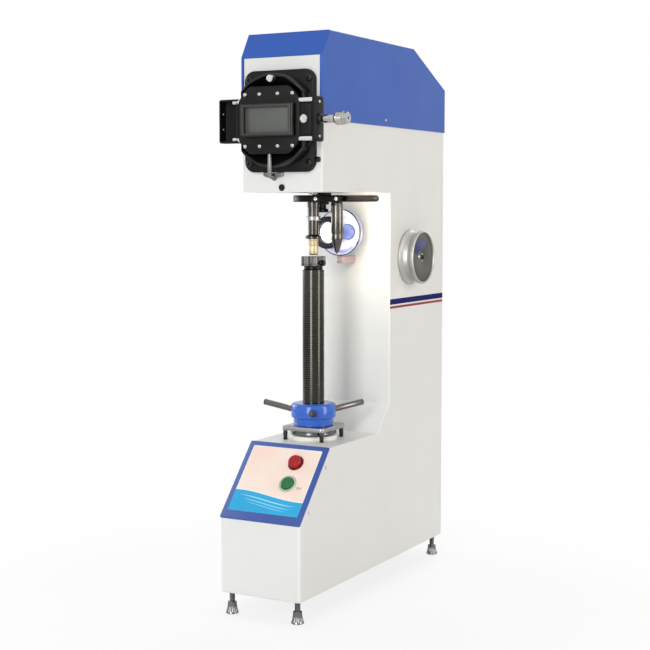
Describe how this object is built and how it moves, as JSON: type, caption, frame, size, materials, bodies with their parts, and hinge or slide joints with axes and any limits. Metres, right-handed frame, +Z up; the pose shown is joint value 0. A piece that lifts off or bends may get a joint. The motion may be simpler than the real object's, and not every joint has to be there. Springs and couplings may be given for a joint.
{
  "type": "hardness tester",
  "caption": "Bench Vickers hardness tester with C-shaped cabinet, projection screen, indenter turret, screw-raised anvil, handwheel, load dial and push buttons.",
  "frame": {"origin": "point on the bench right below the test axis, where objective, indenter and elevating screw line up", "axes": "+Z up along the elevating screw, -Y towards the operator, +X to the operator's right, the side of the load dial"},
  "size_m": [0.2284, 0.5362, 0.9178],
  "materials": {
    "white_paint": "satin",
    "blue_paint": "satin",
    "panel_paint": "satin",
    "black_paint": "satin",
    "grey_paint": "satin",
    "tan_paint": "satin",
    "black_oxide": "satin",
    "steel": "brushed",
    "polished_steel": "polished",
    "cast_iron": "machined",
    "aluminium": "turned",
    "brass": "polished",
    "glass_grey": "frosted",
    "lens_glass": "clear",
    "red_plastic": "glossy",
    "green_plastic": "glossy",
    "black_plastic": "matte"
  },
  "bodies": {
    "cabinet": {"cabinet": "white_paint", "hood": "blue_paint", "rear_cover": "white_paint", "base_plate": "grey_paint", "power_inlet": "black_plastic", "panel_plate": "panel_paint", "button_switches": "aluminium", "screw_bush": "cast_iron", "jack_studs": "black_oxide", "thrust_plate": "black_oxide", "bearing_housing": "cast_iron", "turret_spindle": "black_oxide", "fulcrum_block": "steel", "dashpot": "aluminium", "lift_motor": "grey_paint", "optical_tube": "black_paint", "lamp_bracket": "tan_paint", "lamp_holder": "black_paint", "lamp_lens": "lens_glass", "lamp_dish": "polished_steel", "screen_mount_plate": "black_paint", "screen_base_ring": "black_paint", "selector_flange": "aluminium"},
    "foot_front_left": {"foot_front_left": "black_oxide"},
    "foot_front_right": {"foot_front_right": "black_oxide"},
    "foot_rear_left": {"foot_rear_left": "black_oxide"},
    "foot_rear_right": {"foot_rear_right": "black_oxide"},
    "red_button": {"red_button": "red_plastic"},
    "green_button": {"green_button": "green_plastic"},
    "handwheel": {"handwheel_hub": "blue_paint", "handwheel_spokes": "polished_steel"},
    "screw": {"elevating_screw": "steel", "anvil": "polished_steel", "anvil_clamp_screw": "black_oxide"},
    "turret": {"turret_disc": "black_paint", "turret_handle": "polished_steel", "objective_barrel": "black_paint", "objective_nose": "brass"},
    "indenter": {"indenter_holder": "polished_steel", "diamond_indenter": "polished_steel"},
    "screen_unit": {"screen_drum": "black_paint", "screen_frame": "black_paint", "ground_glass": "glass_grey", "turn_handle": "polished_steel", "left_tray": "black_paint", "guide_rods": "polished_steel", "shutter_box": "black_paint", "micrometer_sleeve": "steel"},
    "clamp_knob": {"clamp_knob": "aluminium"},
    "shutter_knob": {"shutter_knob": "aluminium"},
    "shutter": {"measuring_shutter": "black_oxide"},
    "thimble": {"micrometer_thimble": "steel"},
    "load_selector": {"selector_knob": "aluminium", "selector_face": "black_paint"},
    "lever": {"loading_lever": "cast_iron"},
    "hanger": {"weight_hanger": "steel", "weights": "cast_iron"},
    "spindle": {"loading_spindle": "steel"},
    "lift_rod": {"lift_rod": "steel"}
  },
  "joints": [
    {"name": "foot_front_left_turn", "type": "hinge", "parent": "cabinet", "child": "foot_front_left", "pos_m": [-0.06, -0.158, 0], "axis": [0, 0, 1], "range_deg": [-720, 720]},
    {"name": "foot_front_right_turn", "type": "hinge", "parent": "cabinet", "child": "foot_front_right", "pos_m": [0.06, -0.158, 0], "axis": [0, 0, 1], "range_deg": [-720, 720]},
    {"name": "foot_rear_left_turn", "type": "hinge", "parent": "cabinet", "child": "foot_rear_left", "pos_m": [-0.06, 0.344, 0], "axis": [0, 0, 1], "range_deg": [-720, 720]},
    {"name": "foot_rear_right_turn", "type": "hinge", "parent": "cabinet", "child": "foot_rear_right", "pos_m": [0.06, 0.344, 0], "axis": [0, 0, 1], "range_deg": [-720, 720]},
    {"name": "red_button_press", "type": "slide", "parent": "cabinet", "child": "red_button", "axis": [0, 0.7428, -0.6695], "range_m": [0, 0.003], "stiffness_N_per_m": 400, "springref_m": -0.002},
    {"name": "green_button_press", "type": "slide", "parent": "cabinet", "child": "green_button", "axis": [0, 0.7428, -0.6695], "range_m": [0, 0.003], "stiffness_N_per_m": 400, "springref_m": -0.002},
    {"name": "handwheel_turn", "type": "hinge", "parent": "cabinet", "child": "handwheel", "pos_m": [0, 0, 0.3], "axis": [0, 0, 1], "range_deg": [0, 12000]},
    {"name": "screw_lift", "type": "slide", "parent": "cabinet", "child": "screw", "axis": [0, 0, 1], "range_m": [-0.2, 0]},
    {"name": "turret_turn", "type": "hinge", "parent": "cabinet", "child": "turret", "pos_m": [0, 0.0286, 0.658], "axis": [0, 0, 1], "range_deg": [-90, 0]},
    {"name": "indenter_stroke", "type": "slide", "parent": "turret", "child": "indenter", "axis": [0, 0, -1], "range_m": [0, 0.001], "stiffness_N_per_m": 2000, "springref_m": -0.003},
    {"name": "screen_turn", "type": "hinge", "parent": "cabinet", "child": "screen_unit", "pos_m": [0, -0.12, 0.778], "axis": [0, -1, 0], "range_deg": [0, 90]},
    {"name": "clamp_knob_turn", "type": "hinge", "parent": "screen_unit", "child": "clamp_knob", "pos_m": [0.005, -0.14, 0.841], "axis": [0, -1, 0], "range_deg": [0, 180]},
    {"name": "shutter_knob_turn", "type": "hinge", "parent": "screen_unit", "child": "shutter_knob", "pos_m": [0.0655, -0.145, 0.778], "axis": [0, -1, 0], "range_deg": [0, 180]},
    {"name": "shutter_slide", "type": "slide", "parent": "screen_unit", "child": "shutter", "axis": [-1, 0, 0], "range_m": [0, 0.005]},
    {"name": "thimble_turn", "type": "hinge", "parent": "shutter", "child": "thimble", "pos_m": [0.12, -0.129, 0.778], "axis": [-1, 0, 0], "range_deg": [0, 3600]},
    {"name": "load_selector_turn", "type": "hinge", "parent": "cabinet", "child": "load_selector", "pos_m": [0.09, 0.214, 0.5575], "axis": [1, 0, 0], "range_deg": [0, 240]},
    {"name": "lever_tilt", "type": "hinge", "parent": "cabinet", "child": "lever", "pos_m": [0, -0.01526, 0.705], "axis": [-1, 0, 0], "range_deg": [0, 2]},
    {"name": "hanger_swing", "type": "hinge", "parent": "lever", "child": "hanger", "pos_m": [0, 0.28994, 0.71], "axis": [-1, 0, 0], "range_deg": [-2, 0]},
    {"name": "spindle_press", "type": "slide", "parent": "cabinet", "child": "spindle", "axis": [0, 0, -1], "range_m": [0, 0.00054]},
    {"name": "lift_rod_drop", "type": "slide", "parent": "cabinet", "child": "lift_rod", "axis": [0, 0, -1], "range_m": [0, 0.00875]}
  ],
  "couplings": [
    {"joint": "screw_lift", "follows": "handwheel_turn", "m_per_rad": -0.00095493},
    {"joint": "thimble_turn", "follows": "shutter_slide", "rad_per_m": 12566},
    {"joint": "hanger_swing", "follows": "lever_tilt", "ratio": -1},
    {"joint": "spindle_press", "follows": "lever_tilt", "m_per_rad": 0.01526},
    {"joint": "lift_rod_drop", "follows": "lever_tilt", "m_per_rad": 0.25026}
  ]
}
